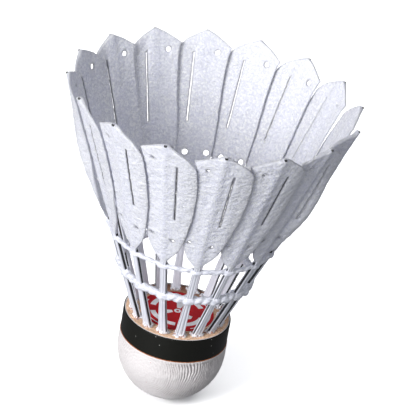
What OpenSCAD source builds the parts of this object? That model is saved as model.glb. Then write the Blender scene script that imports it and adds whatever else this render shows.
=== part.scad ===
// Badminton shuttlecock with a cork base and separate foam vanes on carbon stems.
// Millimetres. The nose of the cork rests at z = 0 and +Z runs up the axis, out of the skirt.

/* [Cork base] */
// Diameter of the cork base over its skin
cork_diameter = 26; // [25:0.1:28]
// Height of the cork base from the nose to its flat top
cork_height = 22.6; // [21:0.1:26]
// Height of the coarse cork disc that carries the stems
disc_height = 6; // [4:0.5:8]
// Thickness of the white skin over the nose
skin_thickness = 0.6; // [0.3:0.05:1]
// Thickness of the skin where the band squeezes it
skin_under_band = 0.25; // [0.1:0.05:0.5]
// Thickness of the black band
band_thickness = 0.25; // [0.1:0.05:0.4]
// Height of the black band
band_height = 6; // [4:0.5:8]
// Radius of the printed disc on the flat top
label_radius = 8.75; // [6:0.25:8.75]
// Thickness of the printed disc
label_thickness = 0.12; // [0.05:0.01:0.3]

/* [Skirt] */
// Number of vanes round the skirt
vane_count = 16; // [16]
// Radius of the circle where the stems enter the cork
root_radius = 10.5; // [9.5:0.1:11]
// Radius of the circle through the vane tips
tip_radius = 33.2; // [29:0.1:34]
// Height of the vane tips above the flat top of the cork
tip_height = 58.8; // [56:0.1:66]

/* [Stem] */
// Depth of the stems in the cork, along the stem
stem_depth = 5.4; // [3:0.1:6]
// Width of the stem where it enters the cork
stem_root_width = 2; // [1.6:0.05:2.4]
// Width of the stem where the vane starts
stem_top_width = 1.4; // [1:0.05:1.6]
// Thickness of the white outer strip
front_thickness = 0.3; // [0.2:0.05:0.5]
// Thickness of the white inner strip
back_thickness = 0.2; // [0.1:0.05:0.4]
// Thickness of the black carbon rod between the strips
rod_thickness = 0.6; // [0.4:0.05:0.8]
// Width of the carbon rod at the vane tip
rod_tip_width = 0.8; // [0.5:0.05:1.2]
// How far the carbon rod stands out of the vane tip
rod_tip_out = 0.1; // [0:0.05:0.5]
// Width of each groove along the outer strip
groove_width = 0.16; // [0.1:0.02:0.24]
// Depth of each groove along the outer strip
groove_depth = 0.1; // [0.05:0.01:0.15]

/* [Vane] */
// Distance along the stem from the cork's flat top to the bottom of the vane
vane_start = 25.6; // [24:0.1:28]
// Distance along the stem from the cork's flat top to the vane's tip
vane_end = 63.3; // [60:0.1:70]
// Thickness of the foam sheet
vane_thickness = 0.55; // [0.4:0.05:0.8]
// Greatest distance from the stem to the rounded edge
round_edge = 7.15; // [6.5:0.05:7.5]
// Radius of the rounded shoulder
shoulder_radius = 4; // [2:0.25:6]
// Angle between the tip's slope and the stem's square section, on the rounded side
tip_slope = 29; // [20:1:40]
// Radius of the long curve of the rounded edge
edge_curve = 78.6; // [60:0.2:120]
// Distance from the stem to the sharp corner
corner_out = 6.2; // [5:0.1:7]
// Distance of the sharp corner below the tip, along the stem
corner_drop = 3.7; // [2:0.1:5]
// Distance from the stem to the straight edge at its top
straight_top = 5.6; // [4.5:0.05:6]
// Distance from the stem to the straight edge at its bottom
straight_bottom = 4.4; // [3.5:0.05:5]
// Height above the vane's bottom where the petal shape ends
petal_height = 6.4; // [4:0.1:10]
// How far the cornered edge lies inwards of the stem
corner_inward = 1.25; // [0.8:0.05:1.6]
// How far the rounded edge lies inwards of the stem
round_inward = 0.22; // [0:0.02:0.6]
// Width of the raised rib over the carbon rod
rib_width = 1.5; // [1.2:0.1:3]

/* [Slot and holes] */
// Distance from the stem to the slot
slot_out = 2.55; // [2:0.05:3.5]
// Distance along the stem to the slot's lower end
slot_start = 40.8; // [36:0.1:44]
// Distance along the stem to the slot's upper end
slot_end = 57.6; // [52:0.1:60]
// Width of the slot
slot_width = 0.42; // [0.3:0.02:1]
// Lean of the slot away from the stem, in degrees
slot_lean = 1.2; // [0:0.1:3]
// Radius of the hole near the tip
tip_hole_radius = 0.7; // [0.5:0.05:1.2]
// Radius of the two lower holes
low_hole_radius = 0.75; // [0.5:0.05:1.2]
// Distance along the stem to the lower holes
low_hole_at = 33.7; // [31:0.1:36]

/* [Bindings] */
// Height of the lower binding above the cork's flat top
lower_binding_at = 12.9; // [10:0.1:16]
// Half the height of the lower binding's section
lower_binding_half = 1.1; // [0.8:0.05:1.4]
// Extra half width of the lower binding across the stems
lower_binding_extra = 0.15; // [0:0.05:0.5]
// Height of the upper binding above the cork's flat top
upper_binding_at = 22.7; // [20:0.1:26]
// Half the height of the upper binding's section
upper_binding_half = 0.7; // [0.5:0.05:1]
// Extra half width of the upper binding across the stems
upper_binding_extra = 0.3; // [0:0.05:0.5]

/* [Root glue] */
// Radius of the ball each bead of glue is part of
glue_ball_radius = 1.9; // [1.5:0.05:2]
// Depth of that ball's centre below the flat top
glue_ball_depth = 0.9; // [0.5:0.05:1.5]

/* [Hidden] */
$fn = 96;
r_cork = cork_diameter / 2;
r_core = r_cork - skin_thickness;
r_pressed = r_core + skin_under_band;
r_band = r_pressed + band_thickness;
z_ball = r_cork;
z_disc = cork_height - disc_height;
z_band = cork_height - band_height;
pitch = 360 / vane_count;
lean = atan2(tip_radius - root_radius, tip_height);
rod_half = rod_thickness / 2;
rib_out = rod_half + front_thickness;
rib_in = rod_half + back_thickness;
far = 100;

// Points along an arc, from angle a to angle b in steps.
function arc(c, r, a, b, steps) = [for (i = [0:steps]) [c[0] + r * cos(a + (b - a) * i / steps), c[1] + r * sin(a + (b - a) * i / steps)]];

// Where the shoulder's arc has its centre: it touches both the tip's slope and the rounded edge.
shoulder_c = [round_edge - shoulder_radius,
    vane_end - (shoulder_radius + (round_edge - shoulder_radius) * sin(tip_slope)) / cos(tip_slope)];
// The long curve starts square to the edge, and ends where the petal starts.
curve_c = [round_edge - edge_curve, shoulder_c[1] - 3];
petal_top = vane_start + petal_height;
curve_end = -asin((curve_c[1] - petal_top) / edge_curve);

// Outline of the vane: x is the distance from the stem, y the distance along it.
vane_outline = concat(
    [[0, vane_end]],
    arc(shoulder_c, shoulder_radius, 90 - tip_slope, 0, 8),
    arc(curve_c, edge_curve, 0, curve_end, 10),
    [[stem_top_width / 2 + 0.05, vane_start],
     [-stem_top_width / 2 - 0.05, vane_start],
     [-straight_bottom, petal_top + 0.8],
     [-straight_bottom - 0.45, petal_top + 10],
     [-straight_top + 0.3, vane_end - corner_drop - 6],
     [-straight_top, vane_end - corner_drop - 2],
     [-corner_out, vane_end - corner_drop]]);

// Section of the foam sheet square to the stem: x is outwards, y is along the rim.
vane_section = [
    [-corner_inward + vane_thickness / 2, -corner_out - 0.4],
    [0.25, -rib_width],
    [rib_out, -rib_width / 2],
    [rib_out, rib_width / 2],
    [rib_out - 0.15, rib_width],
    [rib_out - 0.15, slot_out + 0.15],
    [-round_inward + vane_thickness / 2, round_edge + 0.25],
    [-round_inward - vane_thickness / 2, round_edge + 0.25],
    [rib_out - 0.15 - vane_thickness, slot_out + 0.15],
    [-rib_in, rib_width * 2 / 3],
    [-rib_in, -rib_width * 2 / 3],
    [-corner_inward - vane_thickness / 2, -corner_out - 0.4]];

// Moves a shape from the stem's own frame to stem i: x outwards, y along the rim, z along the stem from the cork's flat top.
module on_stem(i) {
    rotate([0, 0, (i - 1) * pitch])
        translate([root_radius, 0, cork_height])
            rotate([0, lean, 0])
                children();
}

// A flat strip in the stem's own frame, from depth n to n + t, with its outline as [across, along] points.
module strip(n, t, points) {
    rotate([90, 0, 90])
        translate([0, 0, n])
            linear_extrude(height = t)
                polygon(points);
}

module front_strip() {
    strip(rod_half, front_thickness,
        [[-stem_root_width / 2, -stem_depth], [stem_root_width / 2, -stem_depth], [stem_root_width / 2, 0],
         [stem_top_width / 2, vane_start], [-stem_top_width / 2, vane_start], [-stem_root_width / 2, 0]]);
}

module back_strip() {
    strip(-rod_half - back_thickness, back_thickness,
        [[-stem_root_width / 2, -stem_depth], [stem_root_width / 2, -stem_depth], [stem_root_width / 2, 0],
         [stem_top_width / 2, vane_start], [-stem_top_width / 2, vane_start], [-stem_root_width / 2, 0]]);
}

module rod() {
    strip(-rod_half, rod_thickness,
        [[-stem_root_width / 2, -stem_depth], [stem_root_width / 2, -stem_depth], [stem_root_width / 2, 0],
         [stem_top_width / 2, vane_start], [rod_tip_width / 2, vane_end + rod_tip_out],
         [-rod_tip_width / 2, vane_end + rod_tip_out], [-stem_top_width / 2, vane_start], [-stem_root_width / 2, 0]]);
}

// All three layers of every stem together, to cut their seats.
module all_stems() {
    for (i = [1:vane_count])
        on_stem(i) {
            front_strip();
            rod();
            back_strip();
        }
}

module cork_nose() {
    color([0.78, 0.62, 0.44])
        union() {
            intersection() {
                translate([0, 0, z_ball]) sphere(r = r_core);
                cylinder(r = far, h = z_ball);
            }
            translate([0, 0, z_ball]) cylinder(r = r_core, h = z_disc - z_ball);
        }
}

module cork_disc() {
    color([0.83, 0.69, 0.53])
        difference() {
            translate([0, 0, z_disc]) cylinder(r = r_core, h = disc_height);
            all_stems();
        }
}

module cork_cover() {
    color([0.93, 0.91, 0.91])
        difference() {
            union() {
                intersection() {
                    translate([0, 0, z_ball]) sphere(r = r_cork);
                    cylinder(r = far, h = z_ball);
                }
                translate([0, 0, z_ball]) cylinder(r = r_cork, h = z_band - z_ball);
                translate([0, 0, z_band]) cylinder(r = r_pressed, h = band_height);
            }
            intersection() {
                translate([0, 0, z_ball]) sphere(r = r_core);
                cylinder(r = far, h = z_ball);
            }
            translate([0, 0, z_ball]) cylinder(r = r_core, h = far);
        }
}

module tape_band() {
    color([0.08, 0.08, 0.06])
        translate([0, 0, z_band])
            difference() {
                cylinder(r = r_band, h = band_height);
                translate([0, 0, -1]) cylinder(r = r_pressed, h = band_height + 2);
            }
}

module top_label() {
    color([0.62, 0.02, 0.07])
        translate([0, 0, cork_height]) cylinder(r = label_radius, h = label_thickness);
}

module root_glue() {
    color([0.9, 0.9, 0.92])
        for (i = [1:vane_count])
            difference() {
                intersection() {
                    rotate([0, 0, (i - 1) * pitch])
                        translate([root_radius, 0, cork_height - glue_ball_depth]) sphere(r = glue_ball_radius);
                    translate([0, 0, cork_height]) cylinder(r = far, h = glue_ball_radius);
                }
                on_stem(i) {
                    front_strip();
                    rod();
                    back_strip();
                }
            }
}

// A ring of thread round the skirt at height z above the cork's flat top, with a rounded section.
module binding(z, half, extra) {
    ring = root_radius + z * tan(lean);
    color([0.93, 0.93, 0.96])
        difference() {
            translate([0, 0, cork_height + z])
                union() {
                    rotate_extrude() translate([ring - extra, 0]) circle(r = half);
                    rotate_extrude() translate([ring + extra, 0]) circle(r = half);
                    rotate_extrude() translate([ring - extra, -half]) square([2 * extra, 2 * half]);
                }
            all_stems();
        }
}

module lower_binding() {
    binding(lower_binding_at, lower_binding_half, lower_binding_extra);
}

module upper_binding() {
    binding(upper_binding_at, upper_binding_half, upper_binding_extra);
}

module vane(i) {
    color([0.9, 0.91, 0.96])
        on_stem(i)
            difference() {
                intersection() {
                    translate([0, 0, vane_start - 1])
                        linear_extrude(height = vane_end - vane_start + 2) polygon(vane_section);
                    strip(-4, 8, vane_outline);
                }
                rod();
                rotate([slot_lean, 0, 0])
                    translate([-4, slot_out + slot_end * sin(slot_lean) * 0.72, slot_start])
                        translate([0, -slot_width / 2, 0]) cube([8, slot_width, slot_end - slot_start]);
                translate([-4, -2.9, vane_end - 5.3]) rotate([0, 90, 0]) cylinder(r = tip_hole_radius, h = 8);
                translate([-4, -3.1, low_hole_at + 0.1]) rotate([0, 90, 0]) cylinder(r = low_hole_radius, h = 8);
                translate([-4, 2, low_hole_at - 0.2]) rotate([0, 90, 0]) cylinder(r = low_hole_radius, h = 8);
            }
}

module stem(i) {
    color([0.93, 0.93, 0.96])
        on_stem(i) {
            difference() {
                front_strip();
                for (side = [-1, 1])
                    translate([rod_half + front_thickness - groove_depth, side * stem_top_width / 4 - groove_width / 2, 0])
                        cube([1, groove_width, vane_start - 0.5]);
            }
            back_strip();
        }
}

module carbon_rod(i) {
    color([0.04, 0.04, 0.045])
        on_stem(i) rod();
}

cork_nose();
cork_disc();
cork_cover();
tape_band();
top_label();
root_glue();
lower_binding();
upper_binding();
vane(1);  // vane_01
vane(2);  // vane_02
vane(3);  // vane_03
vane(4);  // vane_04
vane(5);  // vane_05
vane(6);  // vane_06
vane(7);  // vane_07
vane(8);  // vane_08
vane(9);  // vane_09
vane(10);  // vane_10
vane(11);  // vane_11
vane(12);  // vane_12
vane(13);  // vane_13
vane(14);  // vane_14
vane(15);  // vane_15
vane(16);  // vane_16
stem(1);  // stem_01
stem(2);  // stem_02
stem(3);  // stem_03
stem(4);  // stem_04
stem(5);  // stem_05
stem(6);  // stem_06
stem(7);  // stem_07
stem(8);  // stem_08
stem(9);  // stem_09
stem(10);  // stem_10
stem(11);  // stem_11
stem(12);  // stem_12
stem(13);  // stem_13
stem(14);  // stem_14
stem(15);  // stem_15
stem(16);  // stem_16
carbon_rod(1);  // carbon_rod_01
carbon_rod(2);  // carbon_rod_02
carbon_rod(3);  // carbon_rod_03
carbon_rod(4);  // carbon_rod_04
carbon_rod(5);  // carbon_rod_05
carbon_rod(6);  // carbon_rod_06
carbon_rod(7);  // carbon_rod_07
carbon_rod(8);  // carbon_rod_08
carbon_rod(9);  // carbon_rod_09
carbon_rod(10);  // carbon_rod_10
carbon_rod(11);  // carbon_rod_11
carbon_rod(12);  // carbon_rod_12
carbon_rod(13);  // carbon_rod_13
carbon_rod(14);  // carbon_rod_14
carbon_rod(15);  // carbon_rod_15
carbon_rod(16);  // carbon_rod_16
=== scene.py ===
import itertools
import math

import bpy
import numpy as np
from mathutils import Matrix, Vector
from mathutils.geometry import delaunay_2d_cdt


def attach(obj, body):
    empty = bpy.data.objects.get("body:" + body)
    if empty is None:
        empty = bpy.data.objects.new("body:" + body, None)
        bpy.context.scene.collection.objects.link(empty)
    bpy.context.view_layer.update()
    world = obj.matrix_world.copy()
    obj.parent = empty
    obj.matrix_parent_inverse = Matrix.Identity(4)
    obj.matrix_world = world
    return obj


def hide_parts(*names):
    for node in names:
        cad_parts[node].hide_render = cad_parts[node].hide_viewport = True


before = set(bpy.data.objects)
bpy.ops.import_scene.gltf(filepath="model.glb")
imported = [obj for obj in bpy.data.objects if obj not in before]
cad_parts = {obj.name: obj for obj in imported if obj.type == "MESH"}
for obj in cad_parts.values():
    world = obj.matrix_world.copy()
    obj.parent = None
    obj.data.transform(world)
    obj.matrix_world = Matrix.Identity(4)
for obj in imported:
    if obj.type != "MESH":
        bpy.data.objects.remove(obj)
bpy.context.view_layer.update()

MM = 0.001

# ---------------------------------------------------------------- sizes, in millimetres, as in the CAD model
N_VANES = 16
PITCH = 360.0 / N_VANES
ROOT_R, TIP_R, TIP_H = 10.5, 33.2, 58.8
CORK_H, R_CORK, R_CORE, R_PRESSED, R_BAND = 22.6, 13.0, 12.4, 12.65, 12.9
Z_BAND = 16.6
LABEL_R, LABEL_T = 8.75, 0.12
LEAN = math.atan2(TIP_R - ROOT_R, TIP_H)
VANE_START, VANE_END = 25.6, 63.3
LOWER_AT, UPPER_AT = 12.9, 22.7


# ---------------------------------------------------------------- small helpers
def _hash(ix, iy, iz, seed):
    h = (ix * 374761393 + iy * 668265263 + iz * 1442695041 + seed * 1274126177) & 0xFFFFFFFF
    h = ((h ^ (h >> 13)) * 1274126177) & 0xFFFFFFFF
    h = ((h ^ (h >> 15)) * 2246822519) & 0xFFFFFFFF
    return h ^ (h >> 16)


def noise3(p, seed=0):
    """Smooth gradient noise, about -1 to 1, at each row of p."""
    p = np.asarray(p, float)
    i = np.floor(p).astype(np.int64)
    f = p - i
    w = f * f * f * (f * (f * 6 - 15) + 10)
    out = np.zeros(len(p))
    for dx, dy, dz in itertools.product((0, 1), repeat=3):
        h = _hash(i[:, 0] + dx, i[:, 1] + dy, i[:, 2] + dz, seed)
        a = (h & 1023) / 1024.0 * 2 * math.pi
        b = ((h >> 10) & 1023) / 1023.0 * 2 - 1
        r = np.sqrt(np.maximum(0, 1 - b * b))
        v = (np.cos(a) * r) * (f[:, 0] - dx) + (np.sin(a) * r) * (f[:, 1] - dy) + b * (f[:, 2] - dz)
        wt = (w[:, 0] if dx else 1 - w[:, 0]) * (w[:, 1] if dy else 1 - w[:, 1]) * (w[:, 2] if dz else 1 - w[:, 2])
        out += wt * v
    return out * 1.6


def fbm(p, octaves=3, seed=0, gain=0.5, lac=2.03):
    p = np.asarray(p, float)
    out, amp = np.zeros(len(p)), 1.0
    for k in range(octaves):
        out += amp * noise3(p * lac**k, seed + 17 * k)
        amp *= gain
    return out


def crease(p, seed=0):
    """Sharp-backed folds: 1 on the fold lines, falling away between them."""
    return (1 - np.minimum(1, np.abs(noise3(p, seed)) * 2.2)) ** 2


def rnd(*key):
    h = 2166136261
    for k in key:
        h = ((h ^ (int(k) & 0xFFFFFFFF)) * 16777619) & 0xFFFFFFFF
        h ^= h >> 15
    h = (h * 2246822519) & 0xFFFFFFFF
    h ^= h >> 13
    return (h % 100003) / 100003.0


def stem_points(i, s, u, n):
    """Stem i's own frame to the row frame: s along the stem from the cork's flat top, u along the rim, n outwards. Millimetres."""
    s, u, n = (np.asarray(v, float) for v in (s, u, n))
    th = math.radians((i - 1) * PITCH)
    x = ROOT_R + n * math.cos(LEAN) + s * math.sin(LEAN)
    z = CORK_H + s * math.cos(LEAN) - n * math.sin(LEAN)
    return np.stack([x * math.cos(th) - u * math.sin(th), x * math.sin(th) + u * math.cos(th), z], axis=-1)


def new_object(name, verts_mm, faces, material, replaces=(), smooth=True, attrs=None, normals=None):
    me = bpy.data.meshes.new(name)
    me.from_pydata([tuple(v) for v in (np.asarray(verts_mm, float) * MM).tolist()], [], faces)
    me.validate()
    if attrs:
        for key, values in attrs.items():
            a = me.attributes.new(key, "FLOAT_VECTOR", "POINT")
            a.data.foreach_set("vector", np.asarray(values, np.float32).ravel())
    me.polygons.foreach_set("use_smooth", [smooth] * len(me.polygons))
    me.update()
    ob = bpy.data.objects.new(name, me)
    bpy.context.scene.collection.objects.link(ob)
    me.materials.append(material)
    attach(ob, "root")
    if replaces:
        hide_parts(*replaces)
    return ob


def mesh_arrays(me):
    co = np.zeros(len(me.vertices) * 3)
    me.vertices.foreach_get("co", co)
    return co.reshape(-1, 3)


def vertex_normals(me):
    no = np.zeros(len(me.vertices) * 3)
    me.vertices.foreach_get("normal", no)
    return no.reshape(-1, 3)


def catmull(points, step):
    """A smooth curve through the points, sampled about every step."""
    p = np.asarray(points, float)
    p = np.vstack([2 * p[0] - p[1], p, 2 * p[-1] - p[-2]])
    out = []
    for k in range(1, len(p) - 2):
        a, b, c, d = p[k - 1], p[k], p[k + 1], p[k + 2]
        m = max(1, int(round(np.linalg.norm(c - b) / step)))
        for t in np.arange(m) / m:
            out.append(0.5 * ((2 * b) + (c - a) * t + (2 * a - 5 * b + 4 * c - d) * t * t + (3 * b - 3 * c + d - a) * t**3))
    out.append(p[-2])
    return np.array(out)


def tube(path, radii_a, radii_b, normal, sides=14, closed=True, phase=0.0):
    """A tube round a path: radii_a along normal, radii_b square to it. Returns vertices and faces."""
    path = np.asarray(path, float)
    m = len(path)
    if closed:
        tan = np.roll(path, -1, 0) - np.roll(path, 1, 0)
    else:
        tan = np.gradient(path, axis=0)
    tan /= np.linalg.norm(tan, axis=1)[:, None]
    nrm = normal - (normal * tan).sum(1)[:, None] * tan
    nrm /= np.linalg.norm(nrm, axis=1)[:, None]
    bi = np.cross(tan, nrm)
    ang = np.arange(sides) / sides * 2 * math.pi + phase
    ra, rb = np.broadcast_to(radii_a, m), np.broadcast_to(radii_b, m)
    v = (path[:, None, :] + nrm[:, None, :] * (ra[:, None] * np.cos(ang)[None, :])[..., None]
         + bi[:, None, :] * (rb[:, None] * np.sin(ang)[None, :])[..., None])
    verts = v.reshape(-1, 3)
    faces = []
    for r in range(m if closed else m - 1):
        r2 = (r + 1) % m
        for k in range(sides):
            k2 = (k + 1) % sides
            faces.append((r * sides + k, r2 * sides + k, r2 * sides + k2, r * sides + k2))
    if not closed:
        faces.append(tuple(range(sides)))
        faces.append(tuple(reversed(range((m - 1) * sides, m * sides))))
    return verts, faces


def ico(subdiv):
    t = (1 + 5**0.5) / 2
    v = [(-1, t, 0), (1, t, 0), (-1, -t, 0), (1, -t, 0), (0, -1, t), (0, 1, t), (0, -1, -t), (0, 1, -t), (t, 0, -1), (t, 0, 1), (-t, 0, -1), (-t, 0, 1)]
    v = [tuple(np.array(p) / np.linalg.norm(p)) for p in v]
    f = [(0, 11, 5), (0, 5, 1), (0, 1, 7), (0, 7, 10), (0, 10, 11), (1, 5, 9), (5, 11, 4), (11, 10, 2), (10, 7, 6), (7, 1, 8),
         (3, 9, 4), (3, 4, 2), (3, 2, 6), (3, 6, 8), (3, 8, 9), (4, 9, 5), (2, 4, 11), (6, 2, 10), (8, 6, 7), (9, 8, 1)]
    for _ in range(subdiv):
        cache, nf = {}, []
        def mid(a, b):
            key = (min(a, b), max(a, b))
            if key not in cache:
                p = (np.array(v[a]) + np.array(v[b])) / 2
                v.append(tuple(p / np.linalg.norm(p)))
                cache[key] = len(v) - 1
            return cache[key]
        for a, b, c in f:
            ab, bc, ca = mid(a, b), mid(b, c), mid(c, a)
            nf += [(a, ab, ca), (b, bc, ab), (c, ca, bc), (ab, bc, ca)]
        f = nf
    return np.array(v), f


ICO2 = ico(2)


def blob(centre, axes, radii):
    """An ellipsoid: axes are three unit vectors, radii their lengths."""
    v, f = ICO2
    m = np.asarray(axes, float) * np.asarray(radii, float)[:, None]
    return np.asarray(centre, float) + v @ m, f


def merge(parts):
    verts, faces, k = [], [], 0
    for v, f in parts:
        verts.append(np.asarray(v, float))
        faces += [tuple(a + k for a in t) for t in f]
        k += len(v)
    return np.vstack(verts), faces


def fused(name, parts, voxel, smooth_steps=3, smooth_factor=0.5):
    """Closed shapes that overlap, fused into one skin by a voxel remesh. Returns vertices in millimetres, and faces."""
    verts, faces = merge(parts)
    me = bpy.data.meshes.new(name + "_raw")
    me.from_pydata([tuple(p) for p in verts.tolist()], [], faces)
    ob = bpy.data.objects.new(name + "_raw", me)
    bpy.context.scene.collection.objects.link(ob)
    r = ob.modifiers.new("r", "REMESH")
    r.mode = "VOXEL"
    r.voxel_size = voxel
    r.adaptivity = 0.0
    if smooth_steps:
        s = ob.modifiers.new("s", "SMOOTH")
        s.factor, s.iterations = smooth_factor, smooth_steps
    dg = bpy.context.evaluated_depsgraph_get()
    done = bpy.data.meshes.new_from_object(ob.evaluated_get(dg))
    co = mesh_arrays(done)
    polys = [tuple(p.vertices) for p in done.polygons]
    bpy.data.objects.remove(ob)
    bpy.data.meshes.remove(me)
    bpy.data.meshes.remove(done)
    return co, polys


# ---------------------------------------------------------------- materials
class Mat:
    """A small wrapper that adds nodes to one material."""

    def __init__(self, name):
        self.m = bpy.data.materials.new(name)
        self.m.use_nodes = True
        self.t = self.m.node_tree
        self.t.nodes.clear()
        self.out = self.node("ShaderNodeOutputMaterial")
        self.p = self.node("ShaderNodeBsdfPrincipled")
        self.link(self.p.outputs[0], self.out.inputs["Surface"])

    def node(self, kind, **settings):
        n = self.t.nodes.new(kind)
        for k, v in settings.items():
            setattr(n, k, v)
        return n

    def link(self, a, b):
        self.t.links.new(a, b)

    def coords(self, scale=1.0, kind="object", rotation=(0, 0, 0)):
        if kind == "object":
            src = self.node("ShaderNodeTexCoord").outputs["Object"]
            k = 1000.0
        else:
            src = self.node("ShaderNodeAttribute", attribute_name=kind).outputs["Vector"]
            k = 1.0
        mp = self.node("ShaderNodeMapping")
        s = scale if isinstance(scale, (tuple, list)) else (scale,) * 3
        mp.inputs["Scale"].default_value = tuple(k * a for a in s)
        mp.inputs["Rotation"].default_value = rotation
        self.link(src, mp.inputs["Vector"])
        return mp.outputs[0]

    def noise(self, vec, detail=3.0, rough=0.5, distortion=0.0, scale=1.0):
        n = self.node("ShaderNodeTexNoise")
        n.inputs["Scale"].default_value = scale
        n.inputs["Detail"].default_value = detail
        n.inputs["Roughness"].default_value = rough
        n.inputs["Distortion"].default_value = distortion
        self.link(vec, n.inputs["Vector"])
        return n.outputs["Fac"]

    def voronoi(self, vec, feature="F1", out="Distance", smooth=None, randomness=1.0):
        n = self.node("ShaderNodeTexVoronoi", feature=feature)
        n.inputs["Scale"].default_value = 1.0
        n.inputs["Randomness"].default_value = randomness
        self.link(vec, n.inputs["Vector"])
        return n.outputs[out]

    def ramp(self, fac, stops, interp="LINEAR"):
        n = self.node("ShaderNodeValToRGB")
        n.color_ramp.interpolation = interp
        els = n.color_ramp.elements
        while len(els) < len(stops):
            els.new(0.5)
        for e, (pos, col) in zip(els, stops):
            e.position = pos
            e.color = (*col, 1) if isinstance(col, (tuple, list)) else (col, col, col, 1)
        self.link(fac, n.inputs[0])
        return n.outputs[0]

    def math(self, op, a, b=None, clamp=False):
        n = self.node("ShaderNodeMath", operation=op, use_clamp=clamp)
        for sock, v in zip(n.inputs, (a, b)):
            if v is None:
                continue
            if isinstance(v, (int, float)):
                sock.default_value = v
            else:
                self.link(v, sock)
        return n.outputs[0]

    def mix(self, fac, a, b, kind="MIX"):
        n = self.node("ShaderNodeMix", data_type="RGBA", blend_type=kind)
        for sock, v in ((n.inputs[0], fac), (n.inputs[6], a), (n.inputs[7], b)):
            if isinstance(v, (int, float)):
                sock.default_value = v
            elif isinstance(v, (tuple, list)):
                sock.default_value = (*v, 1)
            else:
                self.link(v, sock)
        return n.outputs[2]

    def bump(self, height, distance_mm, strength=1.0, normal=None):
        n = self.node("ShaderNodeBump")
        n.inputs["Strength"].default_value = strength
        n.inputs["Distance"].default_value = distance_mm * MM
        self.link(height, n.inputs["Height"])
        if normal is not None:
            self.link(normal, n.inputs["Normal"])
        return n.outputs[0]

    def set(self, **values):
        names = {"color": "Base Color", "rough": "Roughness", "spec": "Specular IOR Level", "coat": "Coat Weight",
                 "coat_rough": "Coat Roughness", "sheen": "Sheen Weight", "sheen_rough": "Sheen Roughness",
                 "sss": "Subsurface Weight", "sss_scale": "Subsurface Scale", "sss_radius": "Subsurface Radius",
                 "normal": "Normal", "ior": "IOR", "aniso": "Anisotropic", "transmission": "Transmission Weight"}
        for k, v in values.items():
            sock = self.p.inputs[names[k]]
            if isinstance(v, (int, float)):
                sock.default_value = v
            elif isinstance(v, (tuple, list)):
                sock.default_value = (*v, 1) if k == "color" else v
            else:
                self.link(v, sock)
        return self


def foam_material():
    m = Mat("vane_foam")
    # loc: x across the stem, y along it, z the side (1 outside, -1 inside) plus a number of the vane's own.
    # face: x 1 on the inside, y how much painted shade darkens the slot's cut walls, z how deep the fold is there.
    fine = m.noise(m.coords((2.3, 2.0, 7.0), "loc"), detail=5, rough=0.62)
    grit = m.noise(m.coords((4.6, 4.0, 9.0), "loc"), detail=3, rough=0.6)
    wide = m.noise(m.coords((0.11, 0.06, 3.0), "loc"), detail=2)
    cells = m.voronoi(m.coords((1.7, 1.4, 9.0), "loc"), "SMOOTH_F1")
    glint = m.voronoi(m.coords((1.55, 1.35, 11.0), "loc"), "F1")
    folds = m.noise(m.coords((0.8, 1.7, 5.0), "loc", (0, 0, 0.5)), detail=4, rough=0.62, distortion=0.8)
    face = m.node("ShaderNodeSeparateXYZ")
    m.link(m.node("ShaderNodeAttribute", attribute_name="face").outputs["Vector"], face.inputs[0])
    tone = m.ramp(fine, [(0.36, (0.70, 0.715, 0.82)), (0.5, (0.83, 0.845, 0.94)), (0.64, (0.91, 0.92, 0.99))])
    tone = m.mix(m.ramp(wide, [(0.35, 0.0), (0.75, 0.3)]), tone, (0.78, 0.795, 0.89))
    # painted shade: the colour darkens where the fold and cell bumps dip
    tone = m.mix(m.ramp(folds, [(0.34, 0.34), (0.50, 0.0)]), tone, (0.55, 0.57, 0.67))
    tone = m.mix(m.ramp(cells, [(0.35, 0.0), (0.75, 0.25)]), tone, (0.60, 0.62, 0.72))
    # inside faces get a darker base colour, the ground for the painted highlights below
    tone = m.mix(m.math("MULTIPLY", face.outputs[0], 0.26), tone, (0.66, 0.675, 0.77))
    # painted highlight: bright glint spots put in the colour, mostly on the inside faces
    sheen = m.noise(m.coords((1.65, 1.4, 13.0), "loc"), detail=1.5)
    spots = m.math("MAXIMUM", m.ramp(glint, [(0.16, 1.0), (0.34, 0.0)]), m.ramp(sheen, [(0.53, 0.0), (0.62, 1.0)]))
    painted_glints = m.math("MULTIPLY", spots, m.math("MULTIPLY", face.outputs[0], m.ramp(wide, [(0.30, 0.45), (0.6, 1.0)])))
    tone = m.mix(painted_glints, tone, (0.93, 0.945, 1.0))
    # painted shade: the slot's cut walls darken to near black, as if deep in shadow
    tone = m.mix(m.math("MULTIPLY", face.outputs[1], 0.92), tone, (0.10, 0.10, 0.115))
    b1 = m.bump(cells, 0.13, 0.7)
    b2 = m.bump(folds, 0.48, 0.9, b1)
    b3 = m.bump(fine, 0.22, 0.8, b2)
    b4 = m.bump(grit, 0.06, 0.65, b3)
    m.set(color=tone, rough=m.ramp(grit, [(0.36, 0.20), (0.64, 0.48)]), spec=0.55, normal=b4, sss=0.44, sss_scale=0.001,
          sss_radius=(1.2, 1.2, 1.4), sheen=0.03, sheen_rough=0.5)
    return m.m


def strip_material():
    m = Mat("stem_strip")
    streak = m.noise(m.coords((6.0, 0.25, 3.0), "loc"), detail=4, rough=0.6)
    grime = m.noise(m.coords((0.9, 0.35, 3.0), "loc"), detail=3)
    tone = m.ramp(streak, [(0.3, (0.66, 0.68, 0.76)), (0.6, (0.80, 0.81, 0.88))])
    tone = m.mix(m.ramp(grime, [(0.45, 0.0), (0.8, 0.3)]), tone, (0.62, 0.64, 0.72))
    n = m.bump(m.noise(m.coords(1.6), detail=4), 0.08, 0.4, m.bump(streak, 0.05, 0.4))
    m.set(color=tone, rough=m.ramp(grime, [(0.3, 0.28), (0.8, 0.45)]), spec=0.5, normal=n, coat=0.25, coat_rough=0.2)
    return m.m


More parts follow.
